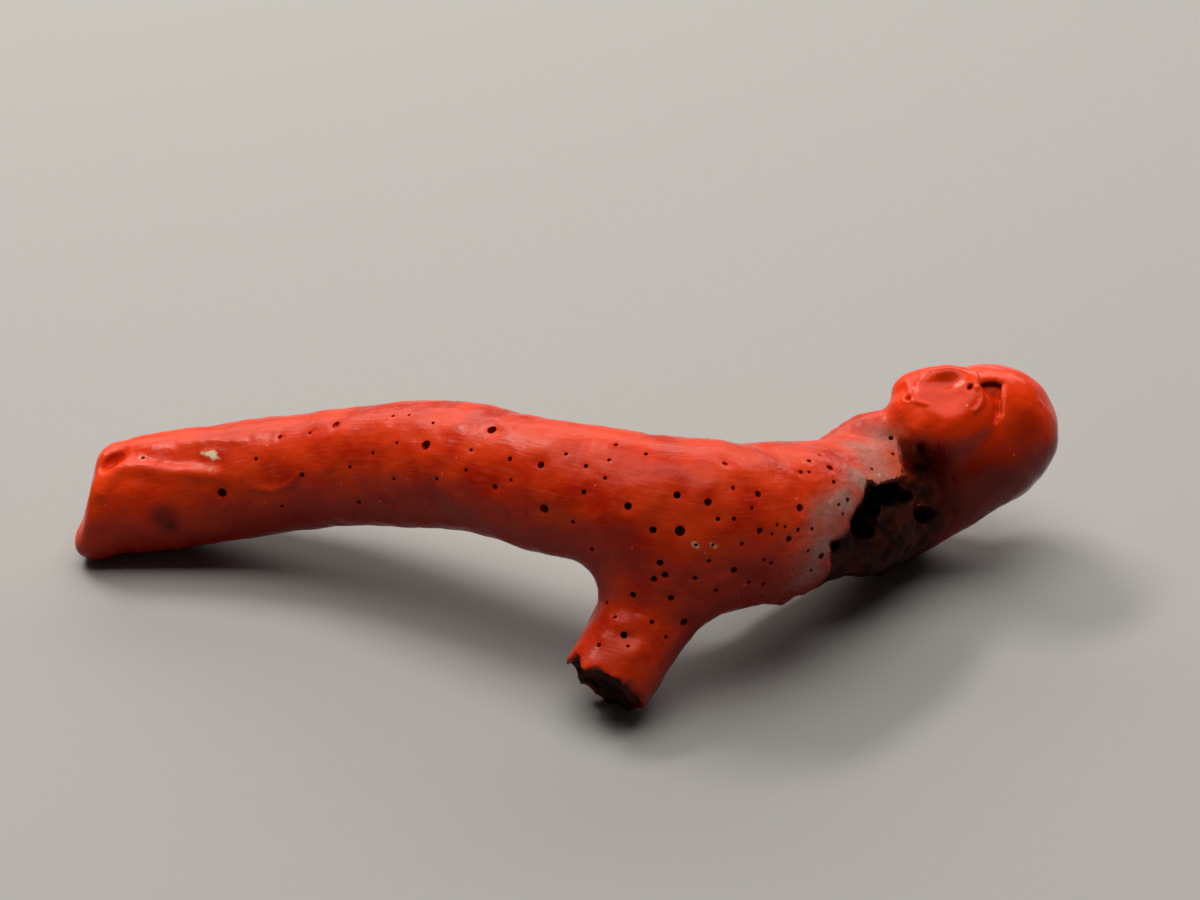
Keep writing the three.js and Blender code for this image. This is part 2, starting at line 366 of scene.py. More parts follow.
def shapeBranch():
    blends = growth["blends"]
    chain = curveThrough(growth["stem"])
    # the head swells evenly from the last station but one
    last = int(np.argmin(np.linalg.norm(chain[:, :3] - growth["stem"][-2][:3], axis=1)))
    slack, full = growth["stem"][-2][3], growth["stem"][-1][3]
    chain[last:, 3] = slack + (full - slack) * ramp(0, 1, np.linspace(0, 1, len(chain) - last))
    addLimb(chain)
    breakEnd("tip", blend=0.6)
    addLimb(curveThrough(growth["stub"]), blends["stub"])
    breakEnd("stub", blend=0.08)
    at, away = growth["stubBreak"]
    out, radius = growth["stubHollow"]
    hollowOut(np.array(at) + out * np.array(away), radius, blend=0.2)
    addLimb(curveThrough(growth["swelling"]), blends["swelling"])
    addCrust()
    for part in ("ledge", "bud"):
        addLimb(curveThrough(growth[part]), blends[part])
    addLimb([(*onPlane(*px, back), radius) for px, back, radius in head["face"]], blends["face"])
    px, back, way, radius = head["dish"]
    hollowOut(onPlane(*px, back) + radius * np.array(way), radius, blend=0.3)
    addLimb([(*onPlane(*px, back), radius) for px, back, radius in tip["toe"]], blends["toe"])
    px, back, radius = tip["bite"]
    hollowOut(onPlane(*px, back), radius, blend=0.3)
    carveWell(*tip["notch"])
    for well in head["wells"]:
        carveWell(*well)
    carveSlot(head["slot"], head["slotDepth"])
    for hollow in neck["hollows"]:
        carveWell(*hollow)
    # flat where it rests on the surface
    whole = tuple(slice(0, n) for n in clay.shape)
    takeAway(whole, np.broadcast_to(axesOf(whole)[2], clay.shape))


def extractSkin():
    grid = openvdb.FloatGrid(background=empty)
    grid.copyFromArray(clay)
    points, quads = grid.convertToQuads(isovalue=0)
    points = points.astype(float) * voxel + clayLow
    # settled on the surface in three short steps
    for _ in range(3):
        g = slope(points)
        points -= (sample(points) / np.maximum((g * g).sum(1), 0.3))[:, None] * g * 0.8
    return points, quads.astype(int)


# Only the largest connected skin: a carved edge can leave a loose crumb
def dropCrumbs(points, quads):
    label = np.arange(len(points))
    while True:
        least = label[quads].min(1)
        lower = label.copy()
        for corner in quads.T:
            np.minimum.at(lower, corner, least)
            np.minimum.at(lower, label[corner], least)
        lower = lower[lower]
        if (lower == label).all():
            break
        label = lower
    kept = quads[label[quads[:, 0]] == np.bincount(label[quads[:, 0]]).argmax()]
    used = np.unique(kept)
    renumber = np.zeros(len(points), int)
    renumber[used] = np.arange(len(used))
    return points[used], renumber[kept]


def unitRows(rows):
    return rows / np.linalg.norm(rows, axis=1)[:, None]


def pointNormals(points, quads):
    across = np.cross(points[quads[:, 2]] - points[quads[:, 0]], points[quads[:, 3]] - points[quads[:, 1]])
    total = np.zeros_like(points)
    for k in range(3):
        for corner in quads.T:
            total[:, k] += np.bincount(corner, across[:, k], len(points))
    return total / np.maximum(np.linalg.norm(total, axis=1), 1e-12)[:, None]


# The point of the skin that shows at a px of the photograph
def hit(tree, across, down):
    at = tree.ray_cast(Vector(eye), Vector(rayThrough(across, down)))[0]
    return None if at is None else np.array(at)


shapeBranch()
print("clay shaped", clay.shape)
points, quads = dropCrumbs(*extractSkin())
if (points[quads[:, 0]] * np.cross(points[quads[:, 1]], points[quads[:, 2]])).sum() < 0:
    quads = quads[:, ::-1]
print("skin", len(points), "points", len(quads), "faces")

# Small forms pushed into or out of the skin: px across and down, mm radius, mm out of the surface
touches = {
    "dents": [(211, 456, 0.45, 0.05), (273, 476, 0.75, -0.13), (163, 518, 0.9, -0.08),
              (640, 622, 0.5, 0.12), (618, 622, 0.35, 0.12), (634, 652, 0.55, 0.14), (630, 637, 0.4, -0.14),
              (604, 640, 0.45, 0.08), (655, 648, 0.5, -0.08), (700, 545, 0.5, 0.06), (668, 470, 0.7, 0.05),
              (745, 470, 0.8, 0.05), (560, 500, 0.8, 0.05), (345, 436, 0.55, 0.06), (385, 430, 0.45, 0.07),
              (418, 436, 0.5, -0.06), (455, 428, 0.5, 0.06), (480, 440, 0.45, -0.05), (505, 425, 0.5, 0.06),
              (905, 383, 0.3, 0.07), (925, 440, 1.3, 0.1), (990, 440, 0.7, -0.1), (1046, 402, 0.9, -0.12),
              (1054, 438, 0.8, 0.1)],
    # px points, mm half width, mm out of the surface
    "lines": [([(103, 493), (109, 481), (117, 472), (126, 467), (145, 467), (165, 469), (192, 472),
                (216, 475)], 0.42, 0.15),
              ([(122, 456), (150, 457), (185, 460), (212, 462)], 0.55, -0.16),
              ([(183, 443), (210, 440), (240, 441)], 0.3, 0.07),
              ([(99, 508), (104, 524), (110, 540)], 0.35, -0.05),
              ([(256, 489), (272, 491), (290, 485), (300, 474)], 0.2, 0.06),
              ([(903, 374), (906, 382), (910, 391)], 0.16, 0.07),
              ([(976, 388), (980, 392), (982, 399), (980, 406), (975, 411)], 0.13, 0.13),
              ([(973, 370), (976, 379), (977, 387)], 0.14, 0.08), ([(914, 401), (926, 405)], 0.12, 0.08),
              ([(996, 423), (992, 432), (986, 440)], 0.4, -0.12)],
    # px across and down, mm radius of the ring, mm half width, mm out of the surface
    "rings": [(908.5, 399, 0.27, 0.09, 0.08)],
    "lumps": [(3.2, 0.09), (1.2, 0.04), (0.5, 0.009)],  # mm across and mm high, all over
    "crustGrit": (0.5, 0.02),  # the same, on the crust
    "gritFade": (0.5, 4.5),  # mm from the crust's edge
    "gritTop": (9.6, 10.6),  # mm high
    "corePits": (0.8, 0.22),  # mm across and mm deep, in the bare core
    "boreMouths": (0.3, 1.7),  # how deep and how wide each is worn, in radii of its bore
}


# Where the colour changes: px of the photograph, mm radius, strength
marks = {
    # the bare core's outline; on its right it takes in coral in the knob's shade, painted as shade
    "bare": [(905, 475), (904, 463), (912, 454), (928, 454), (940, 464), (956, 474), (968, 500), (962, 530),
             (935, 560), (890, 590), (840, 615), (770, 640), (740, 600), (810, 540), (850, 470)],
    "chalk": [(855, 474, 0.75, 0.6), (864, 487, 0.4, 0.5), (845, 502, 0.5, 0.45), (838, 480, 1.5, 0.4),
              (822, 549, 0.6, 0.5), (812, 574, 0.8, 0.35), (793, 586, 0.8, 0.25), (830, 520, 1.6, 0.4),
              (806, 556, 1.3, 0.3), (866, 452, 1.4, 0.36), (886, 440, 1.1, 0.3), (812, 498, 1.3, 0.22)],
    # pale: filled bores, dust flecks and worn spots; the three round the knob's crater ring are painted
    # highlight
    "pale": [(694.5, 544, 0.2, 0.75), (698, 547, 0.14, 0.5), (711.5, 544, 0.15, 0.6),
             (715.5, 546, 0.17, 0.5), (812, 529, 0.12, 0.6), (143, 458, 0.35, 0.45), (811, 570, 0.18, 0.5),
             (966.5, 405.5, 0.09, 0.8), (212, 470, 0.3, 0.35), (904.5, 397.5, 0.1, 0.4),
             (912, 401, 0.14, 0.45), (917, 402.5, 0.12, 0.3), (820, 455, 0.14, 0.5), (803, 463, 0.1, 0.6),
             (813, 461, 0.1, 0.6), (824, 454, 0.1, 0.6), (843, 467, 0.1, 0.5), (793, 574, 0.12, 0.5),
             (832, 551, 0.12, 0.5), (879, 475, 0.16, 0.5)],
    "chip": [(199, 452), (205, 450), (214, 447), (217, 452), (222, 459), (213, 463), (203, 458)],
    # stains, and painted shade: the marks in the neck's hollows, under the lip and in the knob's slot are
    # painted shade, those on the tip are stains
    "stainAndPaintedShade": [(165, 519, 0.85, 0.75), (172, 528, 0.4, 0.4), (921, 450, 0.36, 0.75), (1028, 425, 1.1, 0.5),
              (946, 376, 0.6, 0.3), (985, 485, 1.4, 0.35), (630, 636, 0.3, 0.3), (612, 660, 1.6, 0.25),
              (872, 503, 1.3, 0.9), (860, 523, 1.0, 0.9), (894, 492, 1.2, 0.9), (926, 516, 0.7, 0.8),
              (993, 392, 0.35, 0.5), (997, 408, 0.25, 0.45), (835, 546, 0.5, 0.8)],
    "clear": 1.4,  # mm of coral that light still comes through, for the painted glow on thin edges
    "bloom": (0.34, 6.0),  # how dusty the crust is at its edge, and mm over which that fades
    "bloomTop": (8.8, 10.0),  # mm high, above which the crust is clean
    # mm past neckLine over which each comes in or runs out
    "bloomOut": (3.0, 4.5),
    "bareOut": (4.0, 6.5),
    "grimeIn": (2.2, 3.0),
    "grimeOut": (3.2, 5.0),
    "stubFace": (0.86, 0.95),  # how far out the painted shade on the stub's broken end reaches, in radii
}


def touchUp(points, normals, tree):
    farOff = np.array([99.0, 0, 0])

    def near(across, down):
        at = hit(tree, across, down)
        return farOff if at is None else at

    moved = np.zeros(len(points))
    for across, down, radius, out in touches["dents"]:
        at = near(across, down)
        moved += out * np.exp(-((points - at) ** 2).sum(1) / radius ** 2)
    for across, down, radius, width, out in touches["rings"]:
        at = near(across, down)
        gap = np.sqrt(((points - at) ** 2).sum(1))
        moved += out * np.exp(-((gap - radius) / width) ** 2) - 0.5 * out * np.exp(-(gap / radius) ** 4)
    for line, width, out in touches["lines"]:
        spots = [near(*px) for px in line]
        closest = np.full(len(points), 1e9)
        for a, b in zip(spots[:-1], spots[1:]):
            h = np.clip(((points - a) @ (b - a)) / ((b - a) @ (b - a)), 0, 1)
            closest = np.minimum(closest, ((points - a - h[:, None] * (b - a)) ** 2).sum(1))
        moved += out * np.exp(-closest / width ** 2)
    deep, wide = touches["boreMouths"]
    for across, down, radius, *_ in bores["seen"]:
        at = near(across, down)
        moved -= deep * radius * np.exp(-((points - at) ** 2).sum(1) / (wide * radius) ** 2)
    for size, high in touches["lumps"]:
        moved += high * ripple(points, size, size)
    across, down, _ = seenAt(*points.T)
    traced = outlineDistance(across, down, neck["outline"], len(lip) - 1)
    size, high = touches["crustGrit"]
    gritty = (1 - ramp(*touches["gritFade"], np.abs(traced))) * (1 - ramp(*touches["gritTop"], points[:, 2]))
    moved += high * gritty * (ripple(points, size, 5) + 0.6 * ripple(points, size / 2.2, 9))
    size, deep = touches["corePits"]
    bared = 1 - ramp(-0.6, 0.1, outlineDistance(across, down, marks["bare"]))
    bared = bared * (traced < -0.1) * (normals[:, 1] < 0.2)
    moved -= deep * bared * np.clip(ripple(points, size, 12), 0, 1)
    # next to nothing where it rests
    moved *= ramp(-0.05, 0.4, points[:, 2]) * 0.9 + 0.1
    shaped = points + normals * moved[:, None]
    shaped[:, 2] = np.maximum(shaped[:, 2], 0)
    return shaped


# Bore-holes in the photograph: px across and down, mm radius, and depth in radii of the shallow ones
bores = {
    "seen": [(280, 437, 0.15, 1.2), (310, 433, 0.11, 1.4), (336, 425, 0.23, 1), (393, 416, 0.1),
             (409, 415, 0.1), (433, 423, 0.1), (492, 430, 0.26), (426, 445, 0.27), (397, 443, 0.1),
             (373, 453, 0.1), (471, 450, 0.11), (256, 459, 0.12, 1.6), (302, 475, 0.15), (350, 467, 0.1),
             (394, 479, 0.11), (437, 479, 0.12), (466, 470, 0.11), (510, 459, 0.14), (511, 480, 0.1),
             (495, 487, 0.14), (541, 465, 0.19), (566, 454, 0.1), (586, 466, 0.12), (605, 478, 0.11),
             (584, 492, 0.13), (544, 509, 0.25), (573, 522, 0.12), (359, 502, 0.13), (282, 506, 0.1),
             (616, 445, 0.13, 1.2), (609, 460, 0.1), (592, 549, 0.12), (222, 493, 0.27),
             (143, 458, 0.13, 1.4), (628, 506, 0.2), (646, 454, 0.11), (653, 530, 0.19), (680, 531, 0.27),
             (677, 495, 0.19), (708, 502, 0.2), (733, 488, 0.13), (758, 494, 0.19), (752, 508, 0.11),
             (718, 519, 0.12), (734, 519, 0.12), (742, 544, 0.13), (760, 531, 0.19), (772, 534, 0.1),
             (777, 525, 0.11), (785, 527, 0.11), (789, 539, 0.18), (798, 530, 0.13), (812, 529, 0.11),
             (800, 508, 0.22), (660, 563, 0.18), (665, 575, 0.18), (654, 579, 0.17), (709, 561, 0.12),
             (734, 570, 0.19), (695, 578, 0.13), (716, 590, 0.13), (749, 582, 0.12), (763, 584, 0.13),
             (762, 596, 0.11), (771, 563, 0.12), (764, 560, 0.1), (633, 595, 0.17), (671, 598, 0.17),
             (607, 603, 0.12), (615, 617, 0.11), (652, 622, 0.13), (684, 622, 0.22), (624, 635, 0.19),
             (666, 637, 0.12), (599, 645, 0.12), (579, 663, 0.11), (628, 646, 0.1), (725, 464, 0.17, 1),
             (696, 545, 0.1), (713, 545, 0.1), (820, 455, 0.11), (809, 461, 0.12), (830, 468, 0.2),
             (801, 472, 0.12), (809, 472, 0.1), (834, 482, 0.13), (848, 500, 0.17), (839, 505, 0.12),
             (843, 514, 0.11), (808, 551, 0.12), (821, 556, 0.19), (811, 570, 0.13), (891, 438, 0.14),
             (893, 454, 0.13), (872, 469, 0.11), (902, 472, 0.14)],
    "depth": 0.9,  # mm at the most
    "deepness": 6,  # radii, where no other is given
    "hidden": 170,  # more of the same on the sides that the photograph doesn't show
    "radii": [0.1, 0.12, 0.14, 0.19, 0.25],  # mm, of those
    "shares": [0.3, 0.3, 0.2, 0.13, 0.07],
    "spacing": 0.95,  # mm between those, at the least
    "stretch": (-20, 15.5),  # mm along x where those are
    "sparse": (-12, 0.7),  # mm, left of which this share is missing, as on the seen side
    "sides": 10,
    "seed": 11,
    "wall": 0.03,  # mm under the skin where a bore's own wall begins
    "paintedBoreShade": 0.26,  # mm under it where the painted shade begins
}


def placeBores(tree):
    random = np.random.default_rng(bores["seed"])
    placed = []
    for across, down, radius, *shallow in bores["seen"]:
        at = hit(tree, across, down)
        if at is not None:
            nearest = np.argmin(((points - at) ** 2).sum(1))
            placed.append((at, normals[nearest], radius, shallow[0] if shallow else bores["deepness"]))
    facing = (unitRows(eye - points) * normals).sum(1)
    # on the far side, off the table and not in the stub's break
    first, last = bores["stretch"]
    fits = (facing < 0.12) & (points[:, 0] > first) & (points[:, 0] < last) & (points[:, 2] > 0.25)
    stubFace = np.abs(beyond(growth["stubBreak"], *points.T)) < 0.4
    candidates = np.flatnonzero(fits & ~stubFace)
    sparseTo, missing = bores["sparse"]
    for index in random.permutation(candidates):
        if len(placed) >= len(bores["seen"]) + bores["hidden"]:
            break
        if points[index, 0] < sparseTo and random.random() < missing:
            continue
        if min(np.linalg.norm(points[index] - bore[0]) for bore in placed) > bores["spacing"]:
            radius = random.choice(bores["radii"], p=bores["shares"])
            placed.append((points[index], normals[index], radius, bores["deepness"]))
    return placed


# Two ways at right angles to this one and to each other
def crosswise(n):
    side = np.cross(n, (0.3, 0.5, 0.8))
    side /= np.linalg.norm(side)
    return side, np.cross(n, side)


def drillMesh(placed):
    count = bores["sides"]
    turn = np.arange(count) * 2 * math.pi / count
    made, faces = [], []
    for at, normal, radius, deepness in placed:
        side, other = crosswise(normal)
        circle = np.cos(turn)[:, None] * side + np.sin(turn)[:, None] * other
        deep = min(bores["depth"], radius * deepness)
        start = len(made)
        # mm out of the skin and width in radii, down to the rounded bottom
        for out, wide in ((0.35, 1.1), (-0.02, 1.0), (-deep * 0.6, 0.92), (-deep, 0.5)):
            made.extend(at + normal * out + circle * radius * wide)
        for ring in range(3):
            for k in range(count):
                a, b = start + ring * count + k, start + ring * count + (k + 1) % count
                faces.append((a, b, b + count, a + count)[::-1])
        faces.append(tuple(start + k for k in range(count)))
        faces.append(tuple(start + 3 * count + k for k in reversed(range(count))))
    return np.array(made), faces


def meshFrom(name, points, faces):
    mesh = bpy.data.meshes.new(name)
    mesh.from_pydata((np.array(points) * mm).tolist(), [], [list(face) for face in faces])
    mesh.update()
    return mesh


# One mesh less another, or what they share
def combine(name, mesh, tool, operation):
    subject, other = addObject(name, mesh), addObject("tool", tool)
    change = subject.modifiers.new(operation.lower(), "BOOLEAN")
    change.operation = operation
    change.solver = "MANIFOLD"
    change.object = other
    evaluated = subject.evaluated_get(bpy.context.evaluated_depsgraph_get())
    result = bpy.data.meshes.new_from_object(evaluated)
    bpy.data.objects.remove(subject)
    bpy.data.objects.remove(other)
    result.name = name
    return result


# A large block on the far side of a joint, its size in mm
def farBlock(joint, size=70):
    at, away = joint
    n = np.array(away) / np.linalg.norm(away)
    side, other = crosswise(n)
    corners = [np.array(at) + n * w + side * u + other * v
               for w in (0, size) for u, v in ((-size, -size), (size, -size), (size, size), (-size, size))]
    faces = [(3, 2, 1, 0), (4, 5, 6, 7), (0, 1, 5, 4), (1, 2, 6, 5), (2, 3, 7, 6), (3, 0, 4, 7)]
    return meshFrom("block", corners, faces)


# Where each limb parts from the trunk: a point in mm and the way to the limb. The neck's is turned a little
# from the solids' joint, so that the bud goes with the knob.
joints = {
    "long_branch": ((2.0, -2.6, 8.8), (-0.95, 0.28, 0.11)),
    "side_stub": ((4.2, -5.9, 4.4), (-0.47, -0.6, -0.64)),
    "end_knob": ((19.7, 5.6, 4.9), (0.8, 0.25, 0.54)),
}
skinTree = BVHTree.FromPolygons([Vector(p) for p in points], quads.tolist())
points = touchUp(points, pointNormals(points, quads), skinTree)
normals = pointNormals(points, quads)
skinTree = BVHTree.FromPolygons([Vector(p) for p in points], quads.tolist())
placed = placeBores(skinTree)
print("bores", len(placed))
rest = combine("skin", meshFrom("skin", points, quads), meshFrom("drills", *drillMesh(placed)), "DIFFERENCE")
print("bored", len(rest.vertices), "points", len(rest.polygons), "faces")
meshes = {}
for name, joint in joints.items():
    meshes[name] = combine(name, rest, farBlock(joint), "INTERSECT")
    rest = combine("trunk", rest, farBlock(joint), "DIFFERENCE")
meshes["trunk"] = rest
for name, mesh in meshes.items():
    mesh.calc_loop_triangles()
    print(name, len(mesh.vertices), "points", len(mesh.loop_triangles), "triangles")


def valuesOf(items, key, kind, each):
    values = np.empty(len(items) * each, kind)
    items.foreach_get(key, values)
    return values.reshape(-1, each) if each > 1 else values


# The whole skin's own normals on each piece, so that the joints between pieces don't show
def dressNormals(mesh):
    spots = valuesOf(mesh.vertices, "co", np.float32, 3).astype(float) / mm
    found = np.empty((len(spots), 3))
    offSkin = np.empty(len(spots))
    for k, spot in enumerate(spots):
        _, _, face, gap = skinTree.find_nearest(Vector(spot))
        corners = quads[face]
        weights = 1 / (np.linalg.norm(points[corners] - spot, axis=1) ** 2 + 1e-9)
        found[k] = (normals[corners] * weights[:, None]).sum(0) / weights.sum()
        offSkin[k] = gap
    found = unitRows(found)
    corner = valuesOf(mesh.loops, "vertex_index", int, 1)
    sizes = valuesOf(mesh.polygons, "loop_total", int, 1)
    owner = np.repeat(np.arange(len(sizes)), sizes)
    faceNormal = valuesOf(mesh.polygons, "normal", np.float32, 3)
    deepest = np.zeros(len(sizes))
    np.maximum.at(deepest, owner, offSkin[corner])
    lean = np.bincount(owner, (found[corner] * faceNormal[owner]).sum(1), len(sizes)) / sizes
    # the walls of bores and joints keep their own flat normals
    inner = (deepest > bores["wall"]) | (lean < 0.2)
    # bore walls deeper than that take the lining's painted shade
    paintedBoreShade = inner & (deepest > bores["paintedBoreShade"])
    split = np.where(inner[owner][:, None], faceNormal[owner], found[corner])
    mesh.polygons.foreach_set("use_smooth", np.ones(len(sizes), bool))
    mesh.polygons.foreach_set("material_index", paintedBoreShade.astype(int))
    mesh.normals_split_custom_set(split.tolist())
    return spots, found


# From an sRGB hex value
def linear(colour):
    parts = [int(colour[k:k + 2], 16) / 255 for k in (1, 3, 5)]
    return [c / 12.92 if c <= 0.04045 else ((c + 0.055) / 1.055) ** 2.4 for c in parts] + [1.0]


def newMaterial(name):
    material = bpy.data.materials.new(name)
    material.use_nodes = True
    return material, material.node_tree, material.node_tree.nodes["Principled BSDF"]


# One node with its settings, its fixed values and what is linked into it
def addNode(tree, kind, settings=None, links=None, **values):
    node = tree.nodes.new("ShaderNode" + kind)
    for key, value in (settings or {}).items():
        setattr(node, key, value)
    for key, value in values.items():
        name = key.replace("_", " ")
        if name in node.inputs:
            node.inputs[name].default_value = value
        else:
            node.inputs[int(key[1:])].default_value = value
    for key, socket in (links or {}).items():
        tree.links.new(socket, node.inputs[key])
    return node


coral = {
    "red": "#d5360b",  # the body colour, calcite dyed by the coral's own carotenoid
    "deep": "#b41e06",  # where it is densest
    "knob": "#ee3a08",  # the end knob, brighter and waxier
    "under": "#700802",  # painted shade on the surfaces that face down
    "orangeAndPaintedGlow": "#e8541a",  # clearer clouds, and painted glow on thin edges for the light that comes through them
    "pale": "#dd6446",  # worn streaks and flecks of dust
    "chip": "#dcc9a8",  # cream calcite where the red has flaked or a bore is plugged, and painted highlight round the knob's crater
    "stainAndPaintedShade": "#5e0b04",  # stains, and painted shade on the knob's low, front-facing side and in hollows
    "dust": "#a57f78",  # the chalky bloom on the crust
    "mud": "#7a7460",  # grey-green grime in it
    "core": "#481306",  # the bare, unpolished core of the neck, also used as painted shade on the neck's right and the stub's broken end
    # coreDark also takes the painted shade marks in the neck's hollows
    "coreDark": "#180502",
    "rust": "#5e210d",
    "roughness": 0.28,  # a waxy hand polish, not a lapidary's
    "dustRoughness": 0.7,
    "ior": 1.5,  # calcite is 1.49 to 1.66
    "specular": 0.12,
    "cloud": 2.2,  # mm, the soft clouding in the colour
    "grain": 0.16,  # mm, the fine ribs along the limb, drawn coarser than real
    "drawnOut": (0.12, 1.0, 1.0),  # the ribs' stretch along, round and off the limb
    "mottle": 0.4,  # mm, the unevenness that breaks up the sheen
    "speck": 0.09,  # mm, dust grains
    "patch": 900.0,  # to the metre, the patches in the core and in the grime
    "fleck": 0.9,  # mm between the pale flecks, each about 0.1 mm
    "uneven": (-0.04, 0.09),  # what the clouding adds to the roughness
    "relief": (0.45, 0.05),  # strength and mm of the bump
    # where each share starts, where it is full, and how much that is
    "shares": {
        "dense": (0.25, 0.6, 1),  # of the clouding
        "clear": (0.55, 0.85, 0.3),
        "head": (52.5, 55.5, 0.85),  # mm along the limb
        "toe": (9, 4, 0.6),
        "ribbing": (53, 50, 1),  # the ribs run out on the rounded head
        "streak": (0.45, 0.75, 0.18),
        # painted glow at thin edges
        "edge": (0.3, 0.95, 0.4),
        "paintedShadeBelow": (0.55, -0.45, 0.82),  # how far up the surface faces; the less, the more painted shade
        "paintedShadeLow": (0.0094, 0.0068, 0.93),  # m above the table, for the painted shade on the knob
        "front": (0.2, -0.4, 1),  # how far back it faces, for the painted shade on the knob's front
        "dot": (0.09, 0.05, 1),  # a few of the cells hold a pale fleck of dust
        "chosen": (0.5, 0.7, 1),
        "powder": (0.3, 1.25, 0.85),  # the chalky bloom lies in clouds and specks
        "murky": (0.45, 0.65, 1),
        "dull": (0.38, 0.62, 1),  # the bare core lies open in dull patches
        "rusty": (0.6, 0.75, 0.6),
        "creamAndPaintedHighlight": (0.65, 1.4, 1),
    },
}
lining = {
    "paintedBoreShade": "#120302",
    "red": "#3a0b05",
    "paintedShadePatch": 0.3,  # mm
    "roughness": 0.8,
    "specular": 0.2,
}
smooth = {"interpolation_type": "SMOOTHSTEP"}
colours = {"data_type": "RGBA"}
multiply = {"operation": "MULTIPLY"}
multiplyAdd = {"operation": "MULTIPLY_ADD"}


# Precious coral, polished by hand: an opaque waxy red with orange painted glow at thin edges,
# painted shade below, and fine ribs along its growth
def coralMaterial(name, look):
    material, tree, shader = newMaterial(name)
    coordinates = addNode(tree, "TexCoord")
    place = coordinates.outputs["Object"]
    height = addNode(tree, "SeparateXYZ", links={0: place}).outputs["Z"]
    way = addNode(tree, "SeparateXYZ", links={0: coordinates.outputs["Normal"]})
    masks = addNode(tree, "Attribute", {"attribute_name": "masks"})
    parts = addNode(tree, "SeparateColor", links={0: masks.outputs["Color"]})
    paintedGlow, dust, bare = parts.outputs[0], parts.outputs[1], parts.outputs[2]
    stainAndPaintedShade = addNode(tree, "Attribute", {"attribute_name": "stainAndPaintedShade"}).outputs["Fac"]
    ribs = addNode(tree, "Attribute", {"attribute_name": "ribs"}).outputs["Vector"]
    along = addNode(tree, "SeparateXYZ", links={0: ribs}).outputs["X"]
    drawn = addNode(tree, "Mapping", links={"Vector": ribs}, Scale=look["drawnOut"]).outputs[0]
    grain = addNode(tree, "TexNoise", links={"Vector": drawn}, Scale=1 / look["grain"], Detail=3.0).outputs[0]
    where = {"Vector": place}
    cloud = addNode(tree, "TexNoise", links=where, Scale=1000 / look["cloud"], Detail=2.0).outputs[0]
    patch = addNode(tree, "TexNoise", links=where, Scale=look["patch"], Detail=6.0, Roughness=0.65).outputs[0]
    fine = addNode(tree, "TexNoise", links=where, Scale=500 / look["speck"], Detail=3.0).outputs[0]
    mottle = addNode(tree, "TexNoise", links=where, Scale=1000 / look["mottle"], Detail=2.0).outputs[0]
    cells = addNode(tree, "TexVoronoi", links=where, Scale=1000 / look["fleck"])
    chance = addNode(tree, "SeparateColor", links={0: cells.outputs["Color"]}).outputs[0]
    chalk = addNode(tree, "Math", multiplyAdd, {0: fine, 2: dust}, v1=0.6).outputs[0]
    flakedAndPaintedHighlight = addNode(tree, "Math", multiplyAdd, {0: fine, 2: masks.outputs["Alpha"]}, v1=0.9).outputs[0]

    sources = {
        "dense": cloud, "clear": cloud, "head": along, "toe": along, "ribbing": along, "streak": grain,
        "edge": paintedGlow, "paintedShadeBelow": way.outputs["Z"], "paintedShadeLow": height, "front": way.outputs["Y"],
        "dot": cells.outputs[0], "chosen": chance, "powder": chalk, "murky": patch, "dull": patch,
        "rusty": patch, "creamAndPaintedHighlight": flakedAndPaintedHighlight,
    }
    share = {}
    for key, source in sources.items():
        start, full, most = look["shares"][key]
        share[key] = addNode(tree, "MapRange", smooth, {"Value": source},
                             From_Min=start, From_Max=full, To_Max=most).outputs[0]
    streak = addNode(tree, "Math", multiply, {0: share["streak"], 1: share["ribbing"]}).outputs[0]
    # painted shade on the knob's lower, front-facing side
    paintedShadeLowFront = addNode(tree, "Math", multiply, {0: share["paintedShadeLow"], 1: share["front"]}).outputs[0]
    paintedKnobShade = addNode(tree, "Math", multiply, {0: share["head"], 1: paintedShadeLowFront}).outputs[0]
    fleck = addNode(tree, "Math", multiply, {0: share["dot"], 1: share["chosen"]}).outputs[0]

    body = addNode(tree, "Mix", colours, {0: share["dense"]},
                   v6=linear(look["deep"]), v7=linear(look["red"])).outputs[2]
    # the orange on thin edges is painted glow; the under colour on downward faces and the stain on the knob's
    # low front are painted shade
    layers = [(share["head"], "knob"), (share["toe"], "knob"), (share["clear"], "orangeAndPaintedGlow"),
              (streak, "pale"), (share["edge"], "orangeAndPaintedGlow"), (share["paintedShadeBelow"], "under"), (paintedKnobShade, "stainAndPaintedShade"),
              (stainAndPaintedShade, "stainAndPaintedShade"), (fleck, "pale")]
    for factor, colour in layers:
        body = addNode(tree, "Mix", colours, {0: factor, 6: body}, v7=linear(look[colour])).outputs[2]
    bloom = addNode(tree, "Mix", colours, {0: share["murky"]},
                    v6=linear(look["dust"]), v7=linear(look["mud"])).outputs[2]
    body = addNode(tree, "Mix", colours, {0: share["powder"], 6: body, 7: bloom}).outputs[2]
    core = addNode(tree, "Mix", colours, {0: share["dull"]},
                   v6=linear(look["coreDark"]), v7=linear(look["core"])).outputs[2]
    for factor, colour in ((share["rusty"], "rust"), (stainAndPaintedShade, "coreDark")):
        core = addNode(tree, "Mix", colours, {0: factor, 6: core}, v7=linear(look[colour])).outputs[2]
    body = addNode(tree, "Mix", colours, {0: bare, 6: body, 7: core}).outputs[2]
    body = addNode(tree, "Mix", colours, {0: share["creamAndPaintedHighlight"], 6: body}, v7=linear(look["chip"])).outputs[2]
    tree.links.new(body, shader.inputs["Base Color"])

